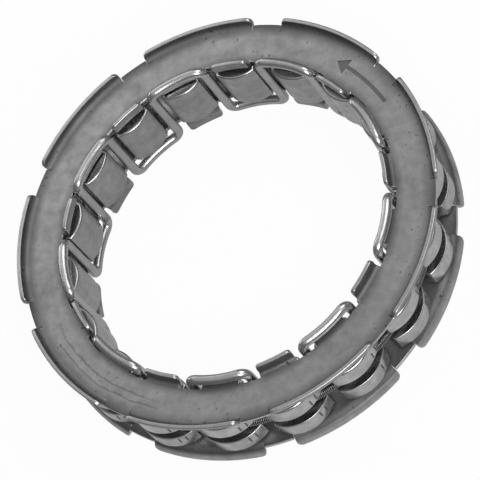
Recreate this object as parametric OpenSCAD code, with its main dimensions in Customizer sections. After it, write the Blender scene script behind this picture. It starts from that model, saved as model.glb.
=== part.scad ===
// Sprag clutch insert: two pressed steel rings and a bent wire cage carry eighteen sprags,
// and a garter spring in the grooves of their heads stands them up against the races.
// The origin is on the clutch axis, halfway between the rings. +Z points out of the front ring.
// Angle 0 lies on +X, and angles rise towards +Y.

/* [Pitch] */
// Sprags round the clutch, two to each rim lip
sprag_count = 18; // [18:2:18]
// Height of each rim lip's free edge above the middle of the clutch
half_width = 7.6; // [7.4:0.1:8.5]

/* [Pressed rings] */
// Thickness of the sheet
sheet = 0.8; // [0.6:0.1:0.9]
// Height of the plate's outer face above the middle of the clutch
plate_z = 6.1; // [6.1:0.1:6.2]
// Outside radius of the rim lips
rim_r = 40; // [39.8:0.1:40.2]
// Inside radius of the bend under each rim lip
rim_bend = 1.2; // [0.6:0.1:1.2]
// Half of the angle that a rim lip covers
lip_half = 15.85; // [15:0.05:16.5]
// Radius of the rim lips' free corners
lip_corner = 1.25; // [0.4:0.05:1.4]
// Radius of the plate's edge in the gaps between the lips
gap_r = 39.2; // [38.6:0.1:39.4]
// Radius of the edge of the notches that the wire passes through
notch_r = 31.9; // [31.9:0.1:32.8]
// Inside radius of the bent-up tabs
tab_r = 30.3; // [30.1:0.1:30.4]
// Inside radius of the bend at the foot of each tab
tab_bend = 0.7; // [0.4:0.1:0.9]
// Height of the tabs' free edge above the middle of the clutch
tab_top = 8.3; // [8:0.1:8.8]
// Half of the angle that a bent-up tab covers
tab_half = 6.3; // [5.5:0.1:6.5]
// Radius of the tabs' free corners
tab_corner = 0.8; // [0.3:0.1:1]
// Inside radius of the flat tongues
tongue_r = 30.9; // [30.7:0.1:31.4]
// Half of the angle that a flat tongue covers
tongue_half = 6.2; // [4:0.1:6.4]

/* [Wire cage] */
// Diameter of the wire
wire_d = 1.8; // [1.6:0.1:1.8]
// Radius of the circle that the wire's bars stand on
wire_r = 30.8; // [30.7:0.1:30.9]
// Radius of the wire's corners, measured to its centre
wire_bend = 1.5; // [1.2:0.1:1.8]
// Height of the wire's centre above the middle of the clutch
wire_z = 7.5; // [7.4:0.1:7.8]

/* [Sprags] */
// Length of a sprag along the clutch axis
sprag_length = 10; // [9.6:0.1:10]
// Radius of the head, where it meets the outer race
head_curve = 7.2; // [6.8:0.1:7.6]
// Farthest reach of the head from the clutch axis
head_reach = 39.4; // [39.2:0.1:39.5]
// How far the middle of the head's curve leans towards falling angles
head_lean = 0.7; // [0.4:0.1:1]
// Width of the head on the side of falling angles
head_low = 5.7; // [5.2:0.1:5.7]
// Width of the head on the side of rising angles
head_high = 5.2; // [4.8:0.1:5.2]
// Radius of the foot, where it meets the inner race
foot_curve = 6.2; // [5.8:0.1:6.6]
// Closest reach of the foot to the clutch axis
foot_reach = 29.2; // [29.1:0.1:29.4]
// Half of the foot's width
foot_half = 3.8; // [3.4:0.1:3.8]
// Radius of the hollows in the sprag's flanks
flank_curve = 2.3; // [2:0.1:2.4]
// Half of the sprag's width at its neck
neck_half = 2.7; // [2.4:0.1:3]
// Radius at which the neck is narrowest
neck_r = 33.4; // [33.2:0.1:33.6]

/* [Garter spring] */
// Width of the groove across the sprags' heads
groove_w = 2.5; // [2:0.1:3]
// Radius of the groove's floor
groove_r = 35.5; // [35.2:0.1:35.6]
// Radius of the circle through the middle of the spring's coils
spring_r = 36.6; // [36.5:0.1:36.8]
// Outside diameter of the spring's coils
coil_d = 1.7; // [1.5:0.1:1.8]

/* [Direction mark] */
// Depth of the arrow that is pressed into the front ring
mark_depth = 0.15; // [0.05:0.05:0.3]
// Radius of the arrow's curved stem
mark_r = 35.2; // [34.8:0.1:35.6]
// Width of the arrow's stem
mark_w = 0.7; // [0.4:0.1:1]
// Angle at which the arrow starts
mark_from = 213; // [210:1:215]
// Angle that the arrow's stem covers
mark_sweep = 18; // [10:1:20]

/* [Hidden] */
step = 360 / sprag_count;
wave = 2 * step;
pieces_per_ring = sprag_count / 2;
// Angle of the slit that the press leaves at each end of a rim lip
slit = 0.15;
rim_inner = rim_r - sheet;
rim_root = rim_inner - rim_bend;
// How far the strips run on into the plate
root_lap = 0.4;
plate_r = rim_root - 2 * root_lap;
tab_root = tab_r + sheet + tab_bend;
plate_back = plate_z - sheet;
first_sprag = step / 2;
head_centre = head_reach - head_curve;
foot_centre = foot_reach + foot_curve;
// The wire is drawn a little thinner round its corners
corner_d = wire_d - 0.02;
corner_lap = 3;
corner_r = sqrt(wire_r * wire_r + wire_bend * wire_bend);
corner_angle = atan(wire_bend / wire_r);
loop_half_chord = corner_r * sin(step / 2 - corner_angle);
loop_r = loop_half_chord / sin(step / 2);
loop_centre = corner_r * cos(step / 2 - corner_angle) - loop_r * cos(step / 2);
$fn = 96;

sprag_name = function(i) str("sprag_", i < 10 ? "0" : "", i);

// One solid of revolution with a rectangular section, from angle -half to +half
module sector(inner, outer, low, high, half) {
    rotate([0, 0, -half])
        rotate_extrude(angle = 2 * half)
            translate([inner, low])
                square([outer - inner, high - low]);
}

// Quarter bend of the sheet about the middle of its bend, open towards +Y
module bend_section(bend) {
    intersection() {
        difference() {
            circle(r = bend + sheet);
            circle(r = bend);
        }
        translate([0, -bend - sheet])
            square(bend + sheet);
    }
}

// Section of the rim lip: the plate's edge, the bend, then a short straight wall
module rim_section() {
    translate([plate_r, plate_back])
        square([rim_root - plate_r, sheet]);
    translate([rim_root, plate_z + rim_bend])
        bend_section(rim_bend);
    translate([rim_inner, plate_z + rim_bend])
        square([sheet, half_width - plate_z - rim_bend]);
}

// Section of a bent-up tab: the plate's edge, the bend, then a straight wall
module tab_section() {
    translate([tab_root, plate_back])
        square([notch_r + root_lap - tab_root, sheet]);
    translate([tab_root, plate_z + tab_bend])
        mirror([1, 0])
            bend_section(tab_bend);
    translate([tab_r, plate_z + tab_bend])
        square([sheet, tab_top - plate_z - tab_bend]);
}

// What the press trims off a free corner, on the side of rising (1) or falling (-1) angles
module corner_waste(side, from, to, top, corner) {
    rounding = [for (a = [0:15:90]) [side * corner * (cos(a) - 1), top + corner * (sin(a) - 1)]];
    translate([from, 0, 0])
        rotate([90, 0, 90])
            linear_extrude(to - from)
                polygon(concat(
                    rounding,
                    [[-side * corner, top + 1], [side, top + 1], [side, top - corner]]
                ));
}

// A curved strip with the section of its children and rounded free corners, centred on angle 0
module bent_strip(half, from, to, top, corner) {
    difference() {
        rotate([0, 0, -half])
            rotate_extrude(angle = 2 * half)
                children();
        for (side = [-1, 1])
            rotate([0, 0, side * half])
                corner_waste(side, from, to, top, corner);
    }
}

// The pressed ring, with its lips and tabs bent towards +Z
module ring() {
    rotate_extrude()
        translate([notch_r, plate_back])
            square([rim_root - root_lap - notch_r, sheet]);
    for (i = [0:pieces_per_ring - 1])
        rotate([0, 0, i * wave]) {
            bent_strip(lip_half, rim_inner - 1, rim_r + 1, half_width, lip_corner)
                rim_section();
            rotate([0, 0, step])
                sector(plate_r, gap_r, plate_back, plate_z, step - lip_half - slit);
            rotate([0, 0, step / 2])
                sector(tongue_r, notch_r + root_lap, plate_back, plate_z, tongue_half);
            rotate([0, 0, 3 * step / 2])
                bent_strip(tab_half, tab_r - 1, tab_r + sheet + 1, tab_top, tab_corner)
                    tab_section();
        }
}

// Curved arrow that points the way the outer race turns when the clutch locks
module direction_mark() {
    tip = 1.6;
    rotate([0, 0, mark_from])
        translate([0, 0, plate_z - mark_depth]) {
            rotate_extrude(angle = mark_sweep)
                translate([mark_r - mark_w / 2, 0])
                    square([mark_w, 1]);
            rotate([0, 0, mark_sweep])
                translate([mark_r, 0, 0])
                    linear_extrude(1)
                        polygon([[-tip, -0.2], [tip, -0.2], [0, 1.5 * tip]]);
        }
}

// One corner of the wire, from a bar on angle 0 towards rising (1) or falling (-1) angles.
// It runs on a little way into the bar and into the loop.
module wire_corner(side) {
    translate([wire_r, side * wire_bend, wire_z - wire_bend])
        rotate([side < 0 ? -90 : 0, 0, 0])
            rotate([90, 0, -90])
                rotate([0, 0, -corner_lap])
                    rotate_extrude(angle = 90 + 2 * corner_lap)
                        translate([wire_bend, 0])
                            circle(d = corner_d);
}

// One loop of the wire over the front ring, centred on angle 0, with both its corners
module wire_loop() {
    translate([loop_centre, 0, wire_z])
        rotate([0, 0, -step / 2])
            rotate_extrude(angle = step)
                translate([loop_r, 0])
                    circle(d = wire_d);
    for (side = [-1, 1])
        rotate([0, 0, side * step / 2])
            wire_corner(-side);
}

// One straight bar of the wire, on angle 0
module wire_bar() {
    translate([wire_r, 0, wire_bend - wire_z])
        cylinder(h = 2 * (wire_z - wire_bend), d = wire_d);
}

// One wave of the wire: a bar, a loop over the front ring, a bar and a loop over the rear ring
module wire_wave() {
    wire_bar();
    rotate([0, 0, step / 2])
        wire_loop();
    rotate([0, 0, step])
        wire_bar();
    rotate([0, 0, 3 * step / 2])
        rotate([180, 0, 0])
            wire_loop();
}

// Outline of a sprag on angle 0: its head towards +X, its foot towards the axis
module sprag_outline() {
    difference() {
        intersection() {
            translate([head_centre, -head_lean])
                circle(r = head_curve);
            translate([foot_centre, 0])
                circle(r = foot_curve);
            polygon([
                [foot_reach - 1, -foot_half],
                [neck_r, -foot_half],
                [neck_r, -head_low],
                [head_reach + 1, -head_low],
                [head_reach + 1, head_high],
                [neck_r, head_high],
                [neck_r, foot_half],
                [foot_reach - 1, foot_half]
            ]);
        }
        for (side = [-1, 1])
            translate([neck_r, side * (neck_half + flank_curve)])
                circle(r = flank_curve);
    }
}

module front_ring() {
    color("#8b8d90")
        difference() {
            ring();
            direction_mark();
        }
}

module rear_ring() {
    color("#818386")
        rotate([180, 0, 0])
            ring();
}

module cage_wire() {
    color("#c4c6c8")
        for (i = [0:pieces_per_ring - 1])
            rotate([0, 0, i * wave])
                wire_wave();
}

module garter_spring() {
    color("#3c3d3f")
        rotate_extrude()
            translate([spring_r, 0])
                circle(d = coil_d);
}

module sprag(i) {
    color("#a5a7aa")
        rotate([0, 0, first_sprag + (i - 1) * step])
            difference() {
                translate([0, 0, -sprag_length / 2])
                    linear_extrude(sprag_length)
                        sprag_outline();
                rotate([0, 0, -step / 2])
                    rotate_extrude(angle = step)
                        translate([groove_r, -groove_w / 2])
                            square([head_reach + 1 - groove_r, groove_w]);
            }
}

front_ring();
rear_ring();
cage_wire();
garter_spring();
for (i = [1:sprag_count])
    sprag(i);
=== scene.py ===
import math
import bmesh
import bpy
from mathutils import Matrix, Vector


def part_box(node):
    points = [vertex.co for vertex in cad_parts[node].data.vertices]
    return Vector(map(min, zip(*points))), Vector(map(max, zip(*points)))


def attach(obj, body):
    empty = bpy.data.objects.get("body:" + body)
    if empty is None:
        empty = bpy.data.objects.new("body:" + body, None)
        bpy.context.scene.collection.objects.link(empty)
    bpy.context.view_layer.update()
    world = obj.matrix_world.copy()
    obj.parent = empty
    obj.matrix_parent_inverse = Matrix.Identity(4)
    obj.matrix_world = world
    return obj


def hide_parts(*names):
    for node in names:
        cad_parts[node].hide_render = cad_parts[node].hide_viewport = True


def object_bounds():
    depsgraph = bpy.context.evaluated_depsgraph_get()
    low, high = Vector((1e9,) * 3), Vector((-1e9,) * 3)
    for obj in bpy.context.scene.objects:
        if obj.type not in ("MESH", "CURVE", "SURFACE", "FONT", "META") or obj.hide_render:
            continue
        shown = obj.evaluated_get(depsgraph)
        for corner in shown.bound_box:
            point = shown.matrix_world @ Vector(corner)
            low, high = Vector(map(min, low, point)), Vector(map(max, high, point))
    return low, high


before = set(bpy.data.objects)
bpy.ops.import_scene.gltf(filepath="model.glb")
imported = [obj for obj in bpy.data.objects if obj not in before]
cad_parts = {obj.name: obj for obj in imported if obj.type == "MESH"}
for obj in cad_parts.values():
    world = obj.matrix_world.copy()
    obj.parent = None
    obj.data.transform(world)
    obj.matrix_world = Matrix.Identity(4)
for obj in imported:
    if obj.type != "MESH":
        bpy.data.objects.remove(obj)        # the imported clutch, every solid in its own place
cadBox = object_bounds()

print("frame loaded,", len(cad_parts), "solids")

mm = 0.001
up = Vector((0, 0, 1))
sprags = sorted(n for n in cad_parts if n.startswith("sprag_"))
step = math.tau / len(sprags)        # angle from one sprag to the next
waves = len(sprags) // 2             # rim lips on a ring, and waves of the wire


# small helpers

def radial(angle):
    return Vector((math.cos(angle), math.sin(angle), 0))


def tangent(angle):
    return Vector((-math.sin(angle), math.cos(angle), 0))


def turned(angle, axis="Z"):
    return Matrix.Rotation(angle, 4, axis)


def makeObject(name, bm, finishes):
    mesh = bpy.data.meshes.new(name)
    bm.to_mesh(mesh)
    bm.free()
    for finish in finishes:
        mesh.materials.append(finish)
    piece = bpy.data.objects.new(name, mesh)
    bpy.context.scene.collection.objects.link(piece)
    return piece


def addModifier(piece, kind, **settings):
    modifier = piece.modifiers.new(kind.title(), kind)
    for key, value in settings.items():
        setattr(modifier, key, value)
    return modifier


def bakeModifiers(piece):
    graph = bpy.context.evaluated_depsgraph_get()
    mesh = bpy.data.meshes.new_from_object(piece.evaluated_get(graph), depsgraph=graph)
    piece.modifiers.clear()
    piece.data = mesh


def smoothPiece(piece, sharpDegrees):
    piece.data.shade_smooth()
    piece.data.set_sharp_from_angle(angle=math.radians(sharpDegrees))
    addModifier(piece, "WEIGHTED_NORMAL", keep_sharp=True, weight=80)


def repeatRound(bm, count, angle, mergeWithin):
    # copies what is there round the axis and joins the copies
    first = bm.verts[:] + bm.edges[:] + bm.faces[:]
    for k in range(1, count):
        copy = bmesh.ops.duplicate(bm, geom=first)["geom"]
        verts = [g for g in copy if isinstance(g, bmesh.types.BMVert)]
        bmesh.ops.rotate(bm, verts=verts, cent=(0, 0, 0), matrix=turned(k * angle).to_3x3())
    bmesh.ops.remove_doubles(bm, verts=bm.verts, dist=mergeWithin * mm)
    bmesh.ops.recalc_face_normals(bm, faces=bm.faces)


def arcOn(bm, vert, centre, end, steps):
    # draws an arc of edges from vert round centre to the point end, the short way
    a = Vector((vert.co.x - centre[0], vert.co.y - centre[1]))
    b = Vector((end[0] - centre[0], end[1] - centre[1]))
    angle = -a.angle_signed(b)
    last = bmesh.ops.spin(bm, geom=[vert], cent=(*centre, 0), axis=up, dvec=(0, 0, 0), angle=angle,
                          steps=steps, use_duplicate=False)["geom_last"]
    return [g for g in last if isinstance(g, bmesh.types.BMVert)][0]


def seat(piece, body, slotName, *nodes):
    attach(piece, body)
    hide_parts(*nodes)


# camera: the photograph's viewpoint, found from the rim lips
cameraSetup = {
    "place": (-0.2415, 0.3012, 0.5797),
    "right": (-0.9288, -0.0330, -0.3694),
    "up": (-0.1320, -0.9015, 0.4122),
    "lens": 293.3,
    "sensor": 36.0,
}


def makeCamera():
    data = bpy.data.cameras.new("camera")
    data.lens = cameraSetup["lens"]
    data.sensor_width = cameraSetup["sensor"]
    data.clip_start = 0.01
    data.clip_end = 20
    camera = bpy.data.objects.new("camera", data)
    bpy.context.scene.collection.objects.link(camera)
    right = Vector(cameraSetup["right"]).normalized()
    back = right.cross(Vector(cameraSetup["up"])).normalized()
    above = back.cross(right)
    turn = Matrix((right, above, back)).transposed().to_4x4()
    camera.matrix_world = Matrix.Translation(cameraSetup["place"]) @ turn
    bpy.context.scene.camera = camera


makeCamera()
print("camera placed")


# finishes
def newMaterial(name):
    material = bpy.data.materials.new(name)
    material.use_nodes = True
    nodes = material.node_tree.nodes
    return material, nodes, material.node_tree.links, nodes["Principled BSDF"]


# marks on the steel; noise scales are per metre, radii and widths in millimetres
steelMarks = {
    "broadScale": 130,
    "patchScale": 520,
    "grainScale": 4200,
    "streakScale": 2600,
    "streakStretch": (1, 1, 0.06),      # streaks run along Z
    "noiseRoughness": 0.6,
    "pitScale": 780,
    "pitBendScale": 1900,
    "pitBend": 0.0009,                  # metres that a pit's edge wanders
    "pitEdge": (0.24, 0.04),
    "pitWhere": (0.50, 0.60),           # broad noise above which pits stand
    "sheetMiddle": 35.0,
    "plainHalf": 1.6,                   # the middle of the sheet stays free of dirt and painted shade
    "dirtAndShadeRise": 0.6,
    "dirtAndShadeBase": 0.1,
    "dirtAndShadeEnd": (4.65, 4.3),             # the outer faces of lips and tabs are plain again, without dirt or painted shade
    "rubRadius": 34.5,
    "rubWander": 2.4,
    "rubHalfGap": 0.7,
    "rubEdge": (0.24, 0.06),
    "rubAngle": 50.0,
    "rubReach": (0.91, 0.97),           # cosine of the angle from rubAngle where the lines fade
    "rubDepth": 0.5,
    "stainShine": -0.35,
    "dirtAndShadeDullness": 0.35,
    "pitDullness": 0.3,
    "stainHeight": 0.3,
}


def steelSkinGroup():
    # mottled steel: stains a few millimetres across, fine grain, small pits, dirt with painted shade
    # towards the bends, and rub lines
    m = steelMarks
    group = bpy.data.node_groups.new("steelSkin", "ShaderNodeTree")
    sockets = (
        ("Colour", "INPUT", "NodeSocketColor"), ("Stain", "INPUT", "NodeSocketFloat"),
        ("Grain", "INPUT", "NodeSocketFloat"), ("Pits", "INPUT", "NodeSocketFloat"),
        ("Streaks", "INPUT", "NodeSocketFloat"), ("DirtWearAndShade", "INPUT", "NodeSocketFloat"),
        ("Roughness", "INPUT", "NodeSocketFloat"),
        ("Colour", "OUTPUT", "NodeSocketColor"), ("Roughness", "OUTPUT", "NodeSocketFloat"),
        ("Height", "OUTPUT", "NodeSocketFloat"),
    )
    for name, direction, kind in sockets:
        group.interface.new_socket(name=name, in_out=direction, socket_type=kind)
    nodes, links = group.nodes, group.links
    given = nodes.new("NodeGroupInput")
    result = nodes.new("NodeGroupOutput")
    place = nodes.new("ShaderNodeTexCoord")

    def noise(scale, detail, stretch=(1, 1, 1)):
        size = nodes.new("ShaderNodeVectorMath")
        size.operation = "MULTIPLY"
        size.inputs[1].default_value = stretch
        node = nodes.new("ShaderNodeTexNoise")
        node.inputs["Scale"].default_value = scale
        node.inputs["Detail"].default_value = detail
        node.inputs["Roughness"].default_value = m["noiseRoughness"]
        links.new(place.outputs["Object"], size.inputs[0])
        links.new(size.outputs[0], node.inputs["Vector"])
        return node

    def sums(operation, *values):
        node = nodes.new("ShaderNodeMath")
        node.operation = operation
        for socket, value in zip(node.inputs, values):
            if isinstance(value, (int, float)):
                socket.default_value = value
            else:
                links.new(value, socket)
        return node.outputs[0]

    def faded(value, start, end):
        node = nodes.new("ShaderNodeMapRange")
        node.inputs["From Min"].default_value = start
        node.inputs["From Max"].default_value = end
        links.new(value, node.inputs["Value"])
        return node.outputs[0]

    def share(source, amount):
        return sums("MULTIPLY", sums("SUBTRACT", source.outputs["Fac"], 0.5), given.outputs[amount])

    broad, patches = noise(m["broadScale"], 3), noise(m["patchScale"], 5)
    stain = sums("ADD", share(broad, "Stain"), share(patches, "Stain"))
    grain = share(noise(m["grainScale"], 2), "Grain")
    streaks = share(noise(m["streakScale"], 2, m["streakStretch"]), "Streaks")
    marks = sums("ADD", sums("ADD", stain, grain), streaks)

    # pits, with edges bent by a finer noise
    dots = nodes.new("ShaderNodeTexVoronoi")
    dots.inputs["Scale"].default_value = m["pitScale"]
    bent = nodes.new("ShaderNodeVectorMath")
    bent.operation = "MULTIPLY_ADD"
    links.new(noise(m["pitBendScale"], 2).outputs["Color"], bent.inputs[0])
    bent.inputs[1].default_value = (m["pitBend"],) * 3
    links.new(place.outputs["Object"], bent.inputs[2])
    links.new(bent.outputs[0], dots.inputs["Vector"])
    pit = sums("MULTIPLY", faded(dots.outputs["Distance"], *m["pitEdge"]),
               faded(broad.outputs["Fac"], *m["pitWhere"]))
    pit = sums("MULTIPLY", pit, given.outputs["Pits"])

    # dirt and painted shade along the rims of the sheet: darker towards the bends, on the plate and the
    # inner walls of the lips and tabs, varied by patches
    flat = nodes.new("ShaderNodeVectorMath")
    flat.operation = "MULTIPLY"
    flat.inputs[1].default_value = (1 / mm, 1 / mm, 0)
    size = nodes.new("ShaderNodeVectorMath")
    size.operation = "LENGTH"
    links.new(place.outputs["Object"], flat.inputs[0])
    links.new(flat.outputs[0], size.inputs[0])
    radius = size.outputs["Value"]
    fromMiddle = sums("ABSOLUTE", sums("SUBTRACT", radius, m["sheetMiddle"]))
    rim = sums("MULTIPLY", sums("SUBTRACT", fromMiddle, m["plainHalf"]), m["dirtAndShadeRise"])
    dirtAndShade = sums("MULTIPLY", sums("MAXIMUM", rim, 0.0), sums("ADD", patches.outputs["Fac"], m["dirtAndShadeBase"]))
    dirtAndShade = sums("MULTIPLY", sums("MINIMUM", dirtAndShade, 1.0), faded(fromMiddle, *m["dirtAndShadeEnd"]))

    # two rub lines round the axis, on one stretch of the face
    rubPath = sums("ADD", sums("MULTIPLY", broad.outputs["Fac"], m["rubWander"]), m["rubRadius"])
    fromPath = sums("ABSOLUTE", sums("SUBTRACT", radius, rubPath))
    fromLine = sums("ABSOLUTE", sums("SUBTRACT", fromPath, m["rubHalfGap"]))
    outward = nodes.new("ShaderNodeVectorMath")
    outward.operation = "NORMALIZE"
    links.new(flat.outputs[0], outward.inputs[0])
    towards = nodes.new("ShaderNodeVectorMath")
    towards.operation = "DOT_PRODUCT"
    towards.inputs[1].default_value = radial(math.radians(m["rubAngle"]))
    links.new(outward.outputs[0], towards.inputs[0])
    rub = sums("MULTIPLY", faded(fromLine, *m["rubEdge"]), faded(towards.outputs["Value"], *m["rubReach"]))
    dirtRubAndShade = sums("ADD", dirtAndShade, sums("MULTIPLY", rub, m["rubDepth"]))
    dirtRubAndShade = sums("MULTIPLY", dirtRubAndShade, given.outputs["DirtWearAndShade"])

    # pits, dirt, rub lines and the painted shade towards the bends all darken the colour
    tone = sums("SUBTRACT", sums("SUBTRACT", sums("ADD", 1.0, marks), pit), dirtRubAndShade)
    scaled = nodes.new("ShaderNodeVectorMath")
    scaled.operation = "SCALE"
    links.new(given.outputs["Colour"], scaled.inputs[0])
    links.new(tone, scaled.inputs["Scale"])
    links.new(scaled.outputs[0], result.inputs["Colour"])
    rough = sums("ADD", given.outputs["Roughness"], sums("MULTIPLY", stain, m["stainShine"]))
    rough = sums("ADD", rough, sums("MULTIPLY", dirtRubAndShade, m["dirtAndShadeDullness"]))
    rough = sums("ADD", rough, sums("MULTIPLY", pit, m["pitDullness"]))
    links.new(rough, result.inputs["Roughness"])
    height = sums("ADD", sums("ADD", grain, streaks), sums("MULTIPLY", stain, m["stainHeight"]))
    links.new(sums("SUBTRACT", height, pit), result.inputs["Height"])
    return group


steelSkin = steelSkinGroup()


def steelMaterial(name, look):
    material, nodes, links, shader = newMaterial(name)
    skin = nodes.new("ShaderNodeGroup")
    skin.node_tree = steelSkin
    skin.inputs["Colour"].default_value = (*look["colour"], 1)
    skin.inputs["Stain"].default_value = look["stain"]
    skin.inputs["Grain"].default_value = look["grain"]
    skin.inputs["Pits"].default_value = look["pits"]
    skin.inputs["Streaks"].default_value = look["streaks"]
    skin.inputs["DirtWearAndShade"].default_value = look["dirtWearAndShade"]
    skin.inputs["Roughness"].default_value = look["roughness"]
    bump = nodes.new("ShaderNodeBump")
    bump.inputs["Strength"].default_value = look["bump"]
    bump.inputs["Distance"].default_value = 0.05 * mm
    shader.inputs["Metallic"].default_value = look["metallic"]
    links.new(skin.outputs["Colour"], shader.inputs["Base Color"])
    links.new(skin.outputs["Roughness"], shader.inputs["Roughness"])
    links.new(skin.outputs["Height"], bump.inputs["Height"])
    links.new(bump.outputs["Normal"], shader.inputs["Normal"])
    return material


looks = {
    "plate": {"colour": (0.43, 0.43, 0.434), "stain": 0.60, "grain": 0.25, "pits": 0.60,
              "streaks": 0.0, "dirtWearAndShade": 0.68, "roughness": 0.42, "bump": 0.30, "metallic": 1.0},
    "shearedEdge": {"colour": (0.56, 0.56, 0.565), "stain": 0.3, "grain": 0.3, "pits": 0.0,
                    "streaks": 0.5, "dirtWearAndShade": 0.0, "roughness": 0.30, "bump": 0.30, "metallic": 1.0},
    # a dark finish for the cut faces of the arrow and the nicks: painted shade in these recesses
    "mark": {"colour": (0.20, 0.20, 0.202), "stain": 0.3, "grain": 0.4, "pits": 0.0,
             "streaks": 0.0, "dirtWearAndShade": 0.0, "roughness": 0.6, "bump": 0.4, "metallic": 0.8},
    "wire": {"colour": (0.64, 0.64, 0.645), "stain": 0.3, "grain": 0.25, "pits": 0.1,
             "streaks": 0.2, "dirtWearAndShade": 0.0, "roughness": 0.28, "bump": 0.16, "metallic": 1.0},
    "sprag": {"colour": (0.52, 0.52, 0.524), "stain": 0.60, "grain": 0.22, "pits": 0.35,
              "streaks": 0.16, "dirtWearAndShade": 0.0, "roughness": 0.26, "bump": 0.08, "metallic": 1.0},
    "coil": {"colour": (0.55, 0.55, 0.554), "stain": 0.3, "grain": 0.3, "pits": 0.0,
             "streaks": 0.0, "dirtWearAndShade": 0.0, "roughness": 0.30, "bump": 0.05, "metallic": 1.0},
}
finish = {name: steelMaterial(name, look) for name, look in looks.items()}


def paintShadeBetweenTurns(material, circle, crest, depth):
    # painted shade in the gaps between the turns of the coil: darker the deeper a point lies below the
    # crest
    gapShade = 0.05
    nodes, links = material.node_tree.nodes, material.node_tree.links
    place = nodes.new("ShaderNodeTexCoord")
    parts = nodes.new("ShaderNodeSeparateXYZ")
    links.new(place.outputs["Object"], parts.inputs[0])

    def distance(first, second, less):
        flat = nodes.new("ShaderNodeCombineXYZ")
        size = nodes.new("ShaderNodeVectorMath")
        size.operation = "LENGTH"
        off = nodes.new("ShaderNodeMath")
        off.operation = "SUBTRACT"
        off.inputs[1].default_value = less
        links.new(first, flat.inputs[0])
        links.new(second, flat.inputs[1])
        links.new(flat.outputs[0], size.inputs[0])
        links.new(size.outputs["Value"], off.inputs[0])
        return off.outputs[0]

    fromCircle = distance(parts.outputs["X"], parts.outputs["Y"], circle * mm)
    fromCrest = distance(fromCircle, parts.outputs["Z"], crest * mm)
    light = nodes.new("ShaderNodeMapRange")
    for socket, value in (("From Min", -depth * mm), ("From Max", 0), ("To Min", gapShade), ("To Max", 1)):
        light.inputs[socket].default_value = value
    links.new(fromCrest, light.inputs["Value"])
    shader = nodes["Principled BSDF"]
    colour = shader.inputs["Base Color"].links[0].from_socket
    shade = nodes.new("ShaderNodeVectorMath")
    shade.operation = "SCALE"
    links.new(colour, shade.inputs[0])
    links.new(light.outputs[0], shade.inputs["Scale"])
    links.new(shade.outputs[0], shader.inputs["Base Color"])


print("finishes mixed")


# pressed rings, in millimetres and degrees, as a blank that is bent after it is cut
ringShape = {
    "sheet": 0.8,
    "lipTop": 7.6,
    "rimBend": 1.2,
    "tabBend": 0.7,
    "tabRadius": 30.3,
    "lipHalf": 15.85,
    "lipCorner": 1.25,
    "gapRadius": 39.2,
    "slit": 0.15,
    "slitRoot": 38.0,
    "notchRadius": 31.9,
    "tabAngle": -10.0,
    "tabHalf": 6.3,
    "tabCorner": 0.8,
    "tongueAngle": 10.0,
    "tongueHalf": 6.2,
    "tongueRadius": 30.9,
    "edge": 0.20,
    "column": 2.5,              # degrees between cuts across the blank, so that it bends round
    "nearPoints": 0.1,          # points of the blank closer than this become one
    "cornerCuts": 5,
    "bendRows": 6,
}


def ringLevels():
    # heights and radii along the section of the sheet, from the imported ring
    low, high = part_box("front_ring")
    s = dict(ringShape)
    s["rim"] = round(high.x / mm, 3)
    s["plateMiddle"] = low.z / mm + s["sheet"] / 2
    s["plateFace"] = low.z / mm + s["sheet"]
    s["rimRoot"] = s["rim"] - s["sheet"] - s["rimBend"]
    s["tabRoot"] = s["tabRadius"] + s["sheet"] + s["tabBend"]
    s["rimTurn"] = s["rimBend"] + s["sheet"] / 2
    s["tabTurn"] = s["tabBend"] + s["sheet"] / 2
    s["lipEnd"] = s["rimRoot"] + math.pi / 2 * s["rimTurn"] + s["lipTop"] - s["plateFace"] - s["rimBend"]
    s["tabEnd"] = s["tabRoot"] - math.pi / 2 * s["tabTurn"] - high.z / mm + s["plateFace"] + s["tabBend"]
    return s


def cutLine(bm, point, normal, faces=None, clear=False):
    faces = bm.faces[:] if faces is None else faces
    edges = {e for f in faces for e in f.edges}
    verts = {v for f in faces for v in f.verts}
    bmesh.ops.bisect_plane(bm, geom=[*faces, *edges, *verts], plane_co=point, plane_no=normal,
                           clear_outer=clear, dist=1e-5)


def roundCorner(bm, place, corner, towards, radius, perDegree):
    # trims a free corner of the blank with tangent cuts; u is in degrees, v in millimetres
    cuts = ringShape["cornerCuts"]
    centre = (corner[0] - towards[0] * radius / perDegree, corner[1] - towards[1] * radius)
    for k in range(1, cuts + 1):
        a = k * math.pi / 2 / (cuts + 1)
        n = (towards[0] * math.cos(a), towards[1] * math.sin(a))
        point = (centre[0] + radius * n[0] / perDegree, centre[1] + radius * n[1], 0)
        live = [f for f in bm.faces if place(f.calc_center_median())]
        cutLine(bm, point, (n[0] * perDegree, n[1], 0), live, clear=True)


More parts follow.
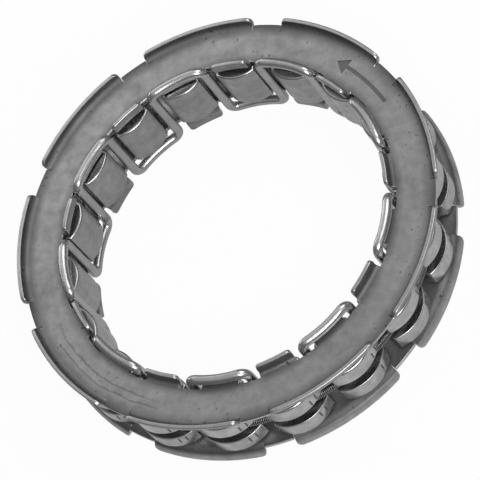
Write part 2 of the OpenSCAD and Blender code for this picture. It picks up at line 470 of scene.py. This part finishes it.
def pressedRing():
    s = ringLevels()
    half = math.degrees(step)
    bm = bmesh.new()
    bmesh.ops.create_grid(bm, x_segments=1, y_segments=1, size=1)
    middle = (s["lipEnd"] + s["tabEnd"]) / 2
    bmesh.ops.scale(bm, vec=(half, (s["lipEnd"] - s["tabEnd"]) / 2, 1), verts=bm.verts)
    bmesh.ops.translate(bm, vec=(0, middle, 0), verts=bm.verts)

    def inRim(p):
        return p.y > s["rimRoot"]

    def inBore(p):
        return p.y < s["notchRadius"]

    def inLip(p):
        return inRim(p) and abs(p.x) < s["lipHalf"]

    def inGap(p):
        return inRim(p) and abs(p.x) > s["lipHalf"] + s["slit"]

    def inTab(p):
        return inBore(p) and abs(p.x - s["tabAngle"]) < s["tabHalf"]

    def inTongue(p):
        return inBore(p) and abs(p.x - s["tongueAngle"]) < s["tongueHalf"]

    def isWaste(p):
        # what is left is lips, tabs, gaps up to gapRadius, tongues down to tongueRadius, and the plate
        if inLip(p) or inTab(p):
            return False
        if inRim(p):
            return not inGap(p) or p.y > s["gapRadius"]
        if inBore(p):
            return not inTongue(p) or p.y < s["tongueRadius"]
        return False

    def live(place):
        return [f for f in bm.faces if place(f.calc_center_median())]

    def row(v, place):
        cutLine(bm, (0, v, 0), (0, 1, 0), live(place))

    def column(u, place):
        cutLine(bm, (u, 0, 0), (1, 0, 0), live(place))

    for v in (s["notchRadius"], s["rimRoot"]):
        cutLine(bm, (0, v, 0), (0, 1, 0))
    for side in (-1, 1):
        column(side * s["lipHalf"], inRim)
        column(side * (s["lipHalf"] + s["slit"]), inRim)
        column(s["tabAngle"] + side * s["tabHalf"], inBore)
        column(s["tongueAngle"] + side * s["tongueHalf"], inBore)
    row(s["gapRadius"], inGap)
    row(s["tongueRadius"], inTongue)
    bmesh.ops.delete(bm, geom=live(isWaste), context="FACES")
    for side in (-1, 1):
        roundCorner(bm, inLip, (side * s["lipHalf"], s["lipEnd"]), (side, 1),
                    s["lipCorner"], math.radians(s["rim"]))
        roundCorner(bm, inTab, (s["tabAngle"] + side * s["tabHalf"], s["tabEnd"]), (side, -1),
                    s["tabCorner"], math.radians(s["tabRadius"]))
    for k in range(1, s["bendRows"] + 1):
        share = k * math.pi / 2 / s["bendRows"]
        row(s["rimRoot"] + share * s["rimTurn"], inLip)
        row(s["tabRoot"] - share * s["tabTurn"], inTab)
    # no column runs through a rounded corner, where points would stand too close for the soft edges
    cornerStart = s["lipHalf"] - s["lipCorner"] / math.radians(s["rim"])
    for k in range(1, int(2 * half / s["column"])):
        u = k * s["column"] - half
        column(u, lambda p: abs(u) < cornerStart or not inLip(p))
    bmesh.ops.remove_doubles(bm, verts=bm.verts, dist=s["nearPoints"])

    for vert in bm.verts:
        u, v = vert.co.x, vert.co.y
        rho, z = v, s["plateMiddle"]
        lip = v > s["rimRoot"] and abs(u) < s["lipHalf"] + s["slit"] / 2
        tab = v < s["tabRoot"] and abs(u - s["tabAngle"]) < s["tabHalf"] + 0.01
        if lip or tab:
            turn, root, out = (s["rimTurn"], s["rimRoot"], 1) if lip else (s["tabTurn"], s["tabRoot"], -1)
            run = abs(v - root)
            bend = min(run / turn, math.pi / 2)
            rho = root + out * turn * math.sin(bend)
            z = s["plateMiddle"] + turn * (1 - math.cos(bend)) + max(0, run - turn * math.pi / 2)
        vert.co = (radial(math.radians(u)) * rho + up * z) * mm

    repeatRound(bm, waves, 2 * step, 0.01)
    return bm


def softenSheetEdges(bm):
    # rounds every cut edge of the sheet, but not the thin slits beside the lips
    s = ringShape
    slits = [(k + 0.5) * 2 * step + side * (step - math.radians(s["lipHalf"] + s["slit"] / 2))
             for k in range(waves) for side in (-1, 1)]
    tight = set()
    for vert in bm.verts:
        angle = math.atan2(vert.co.y, vert.co.x)
        off = min(abs(math.remainder(angle - slit, math.tau)) for slit in slits)
        if off < math.radians(s["slit"]) and abs(vert.co.xy.length / mm - s["slitRoot"]) < 0.1:
            tight.add(vert)
    sharp = [e for e in bm.edges if e.calc_face_angle(0) > math.radians(45)
             and not tight.intersection(e.verts)]
    bmesh.ops.bevel(bm, geom=sharp, offset=s["edge"] * mm, offset_type="OFFSET", segments=3,
                    profile=0.5, affect="EDGES", clamp_overlap=False, material=-1)


# arrow that shows the way the outer race turns when the clutch locks
arrowShape = {"radius": 35.2, "depth": 0.15, "width": 0.7, "from": 213, "sweep": 18,
              "tipHalf": 1.6, "tipLength": 2.4}


def arrowCutter(faceHeight):
    a = arrowShape
    start = math.radians(a["from"])
    end = start + math.radians(a["sweep"])
    inner, outer = a["radius"] - a["width"] / 2, a["radius"] + a["width"] / 2
    bm = bmesh.new()
    first = vert = bm.verts.new(radial(start) * inner)
    vert = arcOn(bm, vert, (0, 0), radial(end) * inner, 12)
    corners = (radial(end) * (a["radius"] - a["tipHalf"]),
               radial(end) * a["radius"] + tangent(end) * a["tipLength"],
               radial(end) * (a["radius"] + a["tipHalf"]), radial(end) * outer)
    for corner in corners:
        new = bm.verts.new(corner)
        bm.edges.new((vert, new))
        vert = new
    vert = arcOn(bm, vert, (0, 0), radial(start) * outer, 12)
    bm.edges.new((vert, first))
    face = bmesh.ops.contextual_create(bm, geom=bm.edges[:])["faces"]
    raised = bmesh.ops.extrude_face_region(bm, geom=face)["geom"]
    tops = [g for g in raised if isinstance(g, bmesh.types.BMVert)]
    bmesh.ops.translate(bm, vec=up, verts=tops)
    bmesh.ops.translate(bm, vec=up * (faceHeight - a["depth"]), verts=bm.verts)
    bmesh.ops.scale(bm, vec=(mm, mm, mm), verts=bm.verts)
    bmesh.ops.recalc_face_normals(bm, faces=bm.faces)
    # the cutter's dark finish goes onto the cut faces: painted shade in the arrow's recess
    return makeObject("arrowCutter", bm, (finish["mark"],))


def finishRing(name, bm, marked):
    piece = makeObject(name, bm, (finish["plate"], finish["shearedEdge"], finish["mark"]))
    addModifier(piece, "SOLIDIFY", thickness=ringShape["sheet"] * mm, offset=0, use_even_offset=True,
                material_offset_rim=1)
    bakeModifiers(piece)
    soft = bmesh.new()
    soft.from_mesh(piece.data)
    softenSheetEdges(soft)
    soft.to_mesh(piece.data)
    soft.free()
    if marked:
        cutter = arrowCutter(ringLevels()["plateFace"])
        addModifier(piece, "BOOLEAN", object=cutter, operation="DIFFERENCE", solver="EXACT",
                    material_mode="TRANSFER")
        bakeModifiers(piece)
        bpy.data.objects.remove(cutter)
    smoothPiece(piece, 35)
    seat(piece, "cage", "pressed_steel", name.replace("pressed_", ""))
    return piece


finishRing("pressed_front_ring", pressedRing(), True)
rearBlank = pressedRing()
bmesh.ops.transform(rearBlank, matrix=turned(math.pi, "X"), verts=rearBlank.verts)
finishRing("pressed_rear_ring", rearBlank, False)
print("rings pressed")


# cage wire, bent from one length of round wire, in millimetres
wireShape = {"diameter": 1.8, "radius": 30.8, "bend": 1.5, "height": 7.5, "sides": 20,
             "bendSteps": 6, "loopSteps": 8, "jointBar": 340.0, "jointHeight": -5.9,
             "jointHalf": 0.15, "jointNeck": 0.84}


def spunOn(bm, edges, centre, axis, angle, steps):
    verts = list({v for e in edges for v in e.verts})
    last = bmesh.ops.spin(bm, geom=[*verts, *edges], cent=centre * mm, axis=axis, dvec=(0, 0, 0),
                          angle=angle, steps=steps, use_duplicate=False)["geom_last"]
    return [g for g in last if isinstance(g, bmesh.types.BMEdge)]


def pulledOn(bm, edges, move):
    new = bmesh.ops.extrude_edge_only(bm, edges=edges)["geom"]
    verts = [g for g in new if isinstance(g, bmesh.types.BMVert)]
    bmesh.ops.translate(bm, vec=move * mm, verts=verts)
    return [g for g in new if isinstance(g, bmesh.types.BMEdge)]


def buttJoint(bm):
    # the two ends of the wire meet low on one bar, each a little tapered
    w = wireShape
    bar = radial(math.radians(w["jointBar"])) * w["radius"] * mm
    for off in (-w["jointHalf"], 0, w["jointHalf"]):
        near = [f for f in bm.faces if (f.calc_center_median() - bar).xy.length < w["diameter"] * mm]
        cutLine(bm, (0, 0, (w["jointHeight"] + off) * mm), up, near)
    neck = [v for v in bm.verts if (v.co - bar).xy.length < w["diameter"] * mm
            and abs(v.co.z - w["jointHeight"] * mm) < 1e-6]
    middle = sum((v.co for v in neck), Vector()) / len(neck)
    bmesh.ops.scale(bm, vec=(w["jointNeck"],) * 3, space=Matrix.Translation(-middle), verts=neck)


def cageWire():
    w = wireShape
    corner = math.hypot(w["radius"], w["bend"])
    lean = step / 2 - math.atan(w["bend"] / w["radius"])
    loopRadius = corner * math.sin(lean) / math.sin(step / 2)
    loopCentre = corner * math.cos(lean) - loopRadius * math.cos(step / 2)
    barHalf = w["height"] - w["bend"]
    bm = bmesh.new()
    bmesh.ops.create_circle(bm, segments=w["sides"], radius=w["diameter"] / 2 * mm)
    bmesh.ops.translate(bm, vec=radial(0) * w["radius"] * mm, verts=bm.verts)
    edges = bm.edges[:]
    for k in range(2 * waves):
        here, after = k * step, (k + 1) * step
        side = 1 if k % 2 == 0 else -1          # over the front ring, then over the rear ring
        edges = pulledOn(bm, edges, up * side * barHalf)
        level = up * side * barHalf
        centre = radial(here) * w["radius"] + tangent(here) * w["bend"] + level
        edges = spunOn(bm, edges, centre, -radial(here) * side, math.pi / 2, w["bendSteps"])
        centre = radial(here + step / 2) * loopCentre
        edges = spunOn(bm, edges, centre, up, step, w["loopSteps"])
        centre = radial(after) * w["radius"] - tangent(after) * w["bend"] + level
        edges = spunOn(bm, edges, centre, -radial(after) * side, math.pi / 2, w["bendSteps"])
        edges = pulledOn(bm, edges, -up * side * barHalf)
    bmesh.ops.remove_doubles(bm, verts=bm.verts, dist=0.01 * mm)
    buttJoint(bm)
    bmesh.ops.recalc_face_normals(bm, faces=bm.faces)
    piece = makeObject("bent_cage_wire", bm, (finish["wire"],))
    piece.data.shade_smooth()
    seat(piece, "cage", "drawn_wire", "cage_wire")


cageWire()
print("wire bent")


# garter spring, a closed coil of fine wire, in millimetres
springShape = {"circle": 36.6, "coil": 1.7, "wire": 0.28, "pitch": 0.335, "steps": 9, "sides": 6}


def garterSpring():
    g = springShape
    # painted shade between the turns of the coil
    paintShadeBetweenTurns(finish["coil"], g["circle"], g["coil"] / 2, g["wire"] / 2)
    arc = g["circle"] * step        # the coil over one sprag, wound straight and then bent
    turns = round(arc / g["pitch"])
    bm = bmesh.new()
    bmesh.ops.create_circle(bm, segments=g["sides"], radius=g["wire"] / 2)
    bmesh.ops.rotate(bm, verts=bm.verts, cent=(0, 0, 0), matrix=turned(math.pi / 2, "X").to_3x3())
    bmesh.ops.translate(bm, vec=((g["coil"] - g["wire"]) / 2, 0, 0), verts=bm.verts)
    bmesh.ops.spin(bm, geom=bm.verts[:] + bm.edges[:], cent=(0, 0, 0), axis=up,
                   dvec=(0, 0, arc / turns / g["steps"]), angle=turns * math.tau,
                   steps=turns * g["steps"], use_duplicate=False)
    for vert in bm.verts:
        x, y, z = vert.co
        vert.co = (radial(z / g["circle"]) * (g["circle"] + x) + up * y) * mm
    repeatRound(bm, len(sprags), step, 0.002)
    piece = makeObject("coiled_garter_spring", bm, (finish["coil"],))
    piece.data.shade_smooth()
    seat(piece, "cage", "spring_wire", "garter_spring")


garterSpring()
print("garter spring wound")


# sprags, in millimetres; the outline is drawn on angle 0 with the head outwards, and the floor of the
# groove is a quarter of a millimetre below the solid's, so that the coil clears it as a sprag rocks
spragShape = {
    "length": 10.0, "headReach": 39.4, "headCurve": 7.2, "headLean": 0.7, "headLow": 5.7,
    "headHigh": 5.2, "footReach": 29.2, "footCurve": 6.2, "footHalf": 3.8, "flankCurve": 2.3,
    "neckHalf": 2.7, "neckRadius": 33.4, "grooveWidth": 2.5, "grooveFloor": 35.25,
    "endEdge": 0.45, "sideEdge": 0.20, "grooveEdge": 0.20,
    "nickAt": (2.6, 3.75), "nickWidth": 0.34, "nickDepth": 0.10, "nickMiddle": 2.5, "nickLength": 1.7,
}


def spragBlank():
    s = spragShape
    head = (s["headReach"] - s["headCurve"], -s["headLean"])
    foot = (s["footReach"] + s["footCurve"], 0)

    def onHead(t):
        return (head[0] + math.sqrt(s["headCurve"] ** 2 - (t - head[1]) ** 2), t)

    def onFoot(t):
        return (foot[0] - math.sqrt(s["footCurve"] ** 2 - t ** 2), t)

    def onFlank(t, way):
        side = math.copysign(1, t)
        off = abs(t) - s["neckHalf"] - s["flankCurve"]
        return (s["neckRadius"] + way * math.sqrt(s["flankCurve"] ** 2 - off ** 2), side * abs(t))

    flankHigh = (s["neckRadius"], s["neckHalf"] + s["flankCurve"])
    flankLow = (s["neckRadius"], -flankHigh[1])
    bm = bmesh.new()
    start = vert = bm.verts.new((*onHead(-s["headLow"]), 0))
    vert = arcOn(bm, vert, head, onHead(s["headHigh"]), 20)
    stops = (
        ("line", onFlank(s["headHigh"], 1)), (flankHigh, onFlank(s["footHalf"], -1)),
        ("line", onFoot(s["footHalf"])), (foot, onFoot(-s["footHalf"])),
        ("line", onFlank(-s["footHalf"], -1)), (flankLow, onFlank(-s["headLow"], 1)),
    )
    for centre, end in stops:
        if centre == "line":
            new = bm.verts.new((*end, 0))
            bm.edges.new((vert, new))
            vert = new
        else:
            vert = arcOn(bm, vert, centre, end, 12)
    bm.edges.new((vert, start))
    face = bmesh.ops.contextual_create(bm, geom=bm.edges[:])["faces"]
    bmesh.ops.translate(bm, vec=(0, 0, -s["length"] / 2), verts=bm.verts)
    new = bmesh.ops.extrude_face_region(bm, geom=face)["geom"]
    tops = [g for g in new if isinstance(g, bmesh.types.BMVert)]
    bmesh.ops.translate(bm, vec=(0, 0, s["length"]), verts=tops)
    bmesh.ops.scale(bm, vec=(mm, mm, mm), verts=bm.verts)
    bmesh.ops.recalc_face_normals(bm, faces=bm.faces)
    return bm


def grooveCutter():
    s = spragShape
    low, high = s["grooveFloor"] * mm, (s["headReach"] + 1) * mm
    bm = bmesh.new()
    bmesh.ops.create_circle(bm, segments=4, radius=1)
    bmesh.ops.rotate(bm, verts=bm.verts, cent=(0, 0, 0), matrix=turned(math.pi / 4).to_3x3())
    side = 1 / math.sqrt(2)
    bmesh.ops.scale(bm, vec=((high - low) / 2 / side, s["grooveWidth"] / 2 * mm / side, 1), verts=bm.verts)
    bmesh.ops.rotate(bm, verts=bm.verts, cent=(0, 0, 0), matrix=turned(math.pi / 2, "X").to_3x3())
    bmesh.ops.translate(bm, vec=((low + high) / 2, 0, 0), verts=bm.verts)
    bmesh.ops.spin(bm, geom=bm.verts[:] + bm.edges[:], cent=(0, 0, 0), axis=up, dvec=(0, 0, 0),
                   angle=math.tau, steps=360, use_merge=True, use_duplicate=False)
    bmesh.ops.recalc_face_normals(bm, faces=bm.faces)
    return makeObject("grooveCutter", bm, (finish["sprag"],))


def nickCutter():
    # short nicks on both sides of the groove, near the high end of the head
    s = spragShape
    bm = bmesh.new()
    for across in s["nickAt"]:
        lean = math.asin((across + s["headLean"]) / s["headCurve"])
        reach = s["headReach"] - s["headCurve"] + s["headCurve"] * math.cos(lean)
        for side in (-1, 1):
            box = bmesh.ops.create_cube(bm, size=1)["verts"]
            size = (2 * s["nickDepth"], s["nickWidth"], s["nickLength"])
            bmesh.ops.scale(bm, vec=Vector(size) * mm, verts=box)
            bmesh.ops.rotate(bm, verts=box, cent=(0, 0, 0), matrix=turned(lean).to_3x3())
            bmesh.ops.translate(bm, vec=Vector((reach, across, side * s["nickMiddle"])) * mm, verts=box)
    # the cutter's dark finish goes onto the cut faces: painted shade in the nicks
    return makeObject("nickCutter", bm, (finish["mark"],))


def makeSprags():
    s = spragShape
    blank = spragBlank()
    weights = blank.edges.layers.float.new("bevel_weight_edge")
    for edge in blank.edges:
        if edge.calc_face_angle(0) > math.radians(30):
            along = abs(edge.verts[0].co.z - edge.verts[1].co.z) > 1e-6
            edge[weights] = s["sideEdge"] / s["endEdge"] if along else 1.0
    model = makeObject("spragModel", blank, (finish["sprag"],))
    addModifier(model, "BEVEL", width=s["endEdge"] * mm, segments=4, limit_method="WEIGHT",
                use_clamp_overlap=False)
    bakeModifiers(model)
    for cutter in (grooveCutter(), nickCutter()):
        addModifier(model, "BOOLEAN", object=cutter, operation="DIFFERENCE", solver="EXACT",
                    material_mode="TRANSFER")
        bakeModifiers(model)
        bpy.data.objects.remove(cutter)
    grooved = bmesh.new()
    grooved.from_mesh(model.data)
    wall = s["grooveWidth"] / 2 * mm
    floor = (s["grooveFloor"] + 0.1) * mm
    lips = [e for e in grooved.edges if e.calc_face_angle(0) > math.radians(30)
            and all(abs(abs(v.co.z) - wall) < 1e-6 and v.co.xy.length > floor for v in e.verts)]
    bmesh.ops.bevel(grooved, geom=lips, offset=s["grooveEdge"] * mm, offset_type="OFFSET", segments=3,
                    profile=0.5, affect="EDGES", clamp_overlap=False, material=-1)
    for k, name in enumerate(sprags):
        bm = grooved.copy()
        bmesh.ops.transform(bm, matrix=turned((k + 0.5) * step), verts=bm.verts)
        piece = makeObject("ground_" + name, bm, (finish["sprag"], finish["mark"]))
        smoothPiece(piece, 35)
        seat(piece, name, "sprag_steel", name)
    grooved.free()
    bpy.data.objects.remove(model)


makeSprags()
print("sprags ground")


# studio: a pale floor that the metal sees as a painted pool of light, a dome that darkens lower down but
# for a pale horizon, and soft boxes
studio = {
    "floorSeen": 0.955,         # share of plain white where the camera looks at the floor
    "floorMirrored": (0.36, 0.64),      # its brightness in the metal, across the floor
    "floorAcross": (-0.63, 0.77),       # the way it brightens
    "floorFrom": (-0.04, 0.055),        # where along that way (m)
    "floorReach": (0.06, 0.11),         # the metal sees it fade out between these radii (m)
    "domeTop": 0.46,
    "domeEdge": 0.13,
    "horizon": 0.17,            # added low on the dome, so that upright faces aren't black
    "horizonReach": (0.22, 0.06),       # heights where it starts and where it is full
    "domeFrom": 0.45,           # heights on the dome between which it brightens
    "domeTo": 0.95,
    "boxes": {
        # name: direction, distance (m), size (m), watts
        "keyBox": ((-0.42, 0.55, 0.72), 0.9, (0.46, 0.46), 3.6),
        "sideBox": ((-0.42, -0.43, 0.80), 0.9, (0.55, 0.55), 1.7),
        "fillBox": ((-0.88, 0.15, 0.42), 0.9, (0.35, 0.35), 0.20),
        "rimBox": ((0.90, -0.43, 0.10), 0.9, (0.30, 0.30), 0.60),
        "backBox": ((0.55, -0.62, 0.56), 0.3, (0.20, 0.20), 0.08),
    },
}


def makeFloor():
    bm = bmesh.new()
    bmesh.ops.create_grid(bm, x_segments=1, y_segments=1, size=3)
    bmesh.ops.translate(bm, vec=(0, 0, cadBox[0].z), verts=bm.verts)
    material, nodes, links, shader = newMaterial("floor")
    shader.inputs["Base Color"].default_value = (0.92, 0.92, 0.92, 1)
    shader.inputs["Roughness"].default_value = 0.9
    glow = nodes.new("ShaderNodeEmission")
    mix = nodes.new("ShaderNodeMixShader")
    path = nodes.new("ShaderNodeLightPath")
    place = nodes.new("ShaderNodeTexCoord")

    def ranged(value, ends, results):
        node = nodes.new("ShaderNodeMapRange")
        node.interpolation_type = "SMOOTHSTEP"
        for name, number in zip(("From Min", "From Max", "To Min", "To Max"), (*ends, *results)):
            node.inputs[name].default_value = number
        links.new(value, node.inputs["Value"])
        return node.outputs[0]

    def product(first, second):
        node = nodes.new("ShaderNodeMath")
        node.operation = "MULTIPLY"
        links.new(first, node.inputs[0])
        if isinstance(second, float):
            node.inputs[1].default_value = second
        else:
            links.new(second, node.inputs[1])
        return node.outputs[0]

    across = nodes.new("ShaderNodeVectorMath")
    across.operation = "DOT_PRODUCT"
    across.inputs[1].default_value = (*studio["floorAcross"], 0)
    away = nodes.new("ShaderNodeVectorMath")
    away.operation = "LENGTH"
    links.new(place.outputs["Object"], across.inputs[0])
    links.new(place.outputs["Object"], away.inputs[0])
    # painted reflection: for rays from the metal the floor glows as a pool of light, brighter one way
    # across and fading further out
    pool = product(ranged(across.outputs["Value"], studio["floorFrom"], studio["floorMirrored"]),
                   ranged(away.outputs["Value"], studio["floorReach"], (1, 0.15)))
    glossy = path.outputs["Is Glossy Ray"]
    for target, seen, mirrored in ((mix.inputs["Fac"], studio["floorSeen"], glossy),
                                   (glow.inputs["Strength"], 1.0, product(glossy, pool))):
        either = nodes.new("ShaderNodeMath")
        either.operation = "MAXIMUM"
        links.new(product(path.outputs["Is Camera Ray"], seen), either.inputs[0])
        links.new(mirrored, either.inputs[1])
        links.new(either.outputs[0], target)
    links.new(shader.outputs[0], mix.inputs[1])
    links.new(glow.outputs[0], mix.inputs[2])
    links.new(mix.outputs[0], nodes["Material Output"].inputs["Surface"])
    floor = makeObject("floor", bm, (material,))


def makeLights():
    world = bpy.data.worlds.new("world")
    bpy.context.scene.world = world
    world.use_nodes = True
    nodes, links = world.node_tree.nodes, world.node_tree.links
    place = nodes.new("ShaderNodeTexCoord")
    parts = nodes.new("ShaderNodeSeparateXYZ")
    shade = nodes.new("ShaderNodeMapRange")
    shade.interpolation_type = "SMOOTHSTEP"
    for socket, name in (("From Min", "domeFrom"), ("From Max", "domeTo"),
                         ("To Min", "domeEdge"), ("To Max", "domeTop")):
        shade.inputs[socket].default_value = studio[name]
    links.new(place.outputs["Generated"], parts.inputs[0])
    links.new(parts.outputs["Z"], shade.inputs["Value"])
    low = nodes.new("ShaderNodeMapRange")
    for socket, value in (("From Min", studio["horizonReach"][0]), ("From Max", studio["horizonReach"][1]),
                          ("To Min", 0), ("To Max", studio["horizon"])):
        low.inputs[socket].default_value = value
    links.new(parts.outputs["Z"], low.inputs["Value"])
    total = nodes.new("ShaderNodeMath")
    links.new(shade.outputs[0], total.inputs[0])
    links.new(low.outputs[0], total.inputs[1])
    seen = nodes.new("ShaderNodeMath")
    seen.operation = "MAXIMUM"
    path = nodes.new("ShaderNodeLightPath")
    links.new(total.outputs[0], seen.inputs[0])
    links.new(path.outputs["Is Camera Ray"], seen.inputs[1])
    links.new(seen.outputs[0], nodes["Background"].inputs["Strength"])
    nodes["Background"].inputs["Color"].default_value = (1, 1, 1, 1)
    for name, (direction, distance, size, watts) in studio["boxes"].items():
        data = bpy.data.lights.new(name, "AREA")
        data.shape = "RECTANGLE"
        data.size, data.size_y = size
        data.energy = watts
        lamp = bpy.data.objects.new(name, data)
        lamp.location = Vector(direction).normalized() * distance
        lamp.rotation_mode = "QUATERNION"
        lamp.rotation_quaternion = Vector(direction).to_track_quat("Z", "Y")
        bpy.context.scene.collection.objects.link(lamp)


makeFloor()
makeLights()
bpy.context.scene.view_settings.view_transform = "Standard"
print("studio lit")
